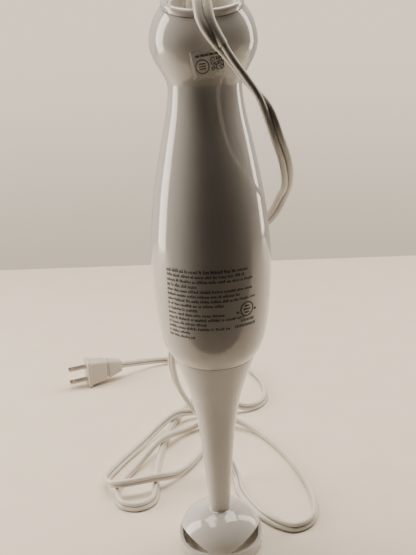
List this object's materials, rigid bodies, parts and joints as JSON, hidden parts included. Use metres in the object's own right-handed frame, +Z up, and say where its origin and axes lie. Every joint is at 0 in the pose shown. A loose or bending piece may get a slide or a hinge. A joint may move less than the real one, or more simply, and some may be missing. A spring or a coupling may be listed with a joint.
{
  "type": "immersion blender",
  "caption": "Handheld immersion blender standing on its bladed bell, with a pull-off shaft, thumb button, tilted round head and flat cord.",
  "frame": {"origin": "centre of the blade guard's rim, where it stands on the table", "axes": "+Z up along the shaft, -Y towards the rating side that faces the viewer, +Y towards the thumb button, +X to the viewer's right"},
  "size_m": [0.2018, 0.3006, 0.33],
  "materials": {
    "casing_plastic": "glossy",
    "recess_plastic": "satin",
    "cord_sheath": "soft satin",
    "plug_plastic": "satin",
    "plug_metal": "dull plated",
    "dark_plastic": "matte",
    "steel": "brushed",
    "plated_steel": "zinc plated",
    "bronze": "sintered",
    "copper_wire": "enamelled",
    "soft_rubber": "matte",
    "carbon": "matte",
    "laminate": "satin",
    "film_plastic": "satin",
    "magnet_ferrite": "matte",
    "wire_sheath": "satin"
  },
  "bodies": {
    "motor_unit": {"rear_housing": "casing_plastic", "front_housing": "casing_plastic", "top_collar": "casing_plastic", "recess_cup": "recess_plastic", "strain_relief": "cord_sheath", "cord_clamp": "recess_plastic", "clamp_screws": "plated_steel", "lead_wires": "wire_sheath", "cord_upper": "cord_sheath", "cord_lower": "cord_sheath", "plug_body": "plug_plastic", "plug_blades": "plug_metal", "motor_base": "dark_plastic", "lower_damper": "soft_rubber", "motor_can": "plated_steel", "field_magnets": "magnet_ferrite", "motor_end_cap": "dark_plastic", "upper_damper": "soft_rubber", "motor_bracket": "plated_steel", "bracket_screws": "plated_steel", "lower_bearing": "bronze", "upper_bearing": "bronze", "brush_holders": "plug_metal", "carbon_brushes": "carbon", "brush_springs": "plated_steel", "circuit_board": "laminate", "rectifier": "dark_plastic", "capacitor": "film_plastic", "switch_body": "dark_plastic", "button_spring": "plated_steel"},
    "thumb_button": {"power_button": "recess_plastic"},
    "plunger": {"switch_plunger": "dark_plastic"},
    "rotor": {"motor_shaft": "steel", "armature_core": "steel", "armature_windings": "copper_wire", "commutator": "copper_wire", "cooling_fan": "dark_plastic", "drive_coupling": "dark_plastic"},
    "blending_shaft": {"shaft_housing": "casing_plastic", "blade_guard": "casing_plastic", "locking_collar": "recess_plastic", "upper_bush": "bronze", "lower_bush": "bronze", "shaft_seal": "soft_rubber"},
    "blade_drive": {"coupling_socket": "dark_plastic", "drive_shaft": "steel", "thrust_washer": "steel", "blade_hub": "steel", "blade": "steel", "blade_nut": "plated_steel"}
  },
  "joints": [
    {"name": "rotor_spin", "type": "hinge", "parent": "motor_unit", "child": "rotor", "pos_m": [0, 0, 0.178], "axis": [0, 0, 1], "continuous": true},
    {"name": "button_press", "type": "slide", "parent": "motor_unit", "child": "thumb_button", "axis": [0, -1, 0], "range_m": [0, 0.0018], "stiffness_N_per_m": 900, "springref_m": -0.0015, "deforming": ["button_spring"]},
    {"name": "plunger_press", "type": "slide", "parent": "motor_unit", "child": "plunger", "axis": [0, -1, 0], "range_m": [0, 0.0018]},
    {"name": "shaft_pull", "type": "slide", "parent": "motor_unit", "child": "blending_shaft", "axis": [0, 0, -1], "range_m": [0, 0.03]},
    {"name": "blade_spin", "type": "hinge", "parent": "blending_shaft", "child": "blade_drive", "pos_m": [0, 0, 0.06], "axis": [0, 0, 1], "continuous": true}
  ],
  "couplings": [
    {"joint": "plunger_press", "follows": "button_press", "ratio": 1},
    {"joint": "blade_spin", "follows": "rotor_spin", "ratio": 1}
  ]
}
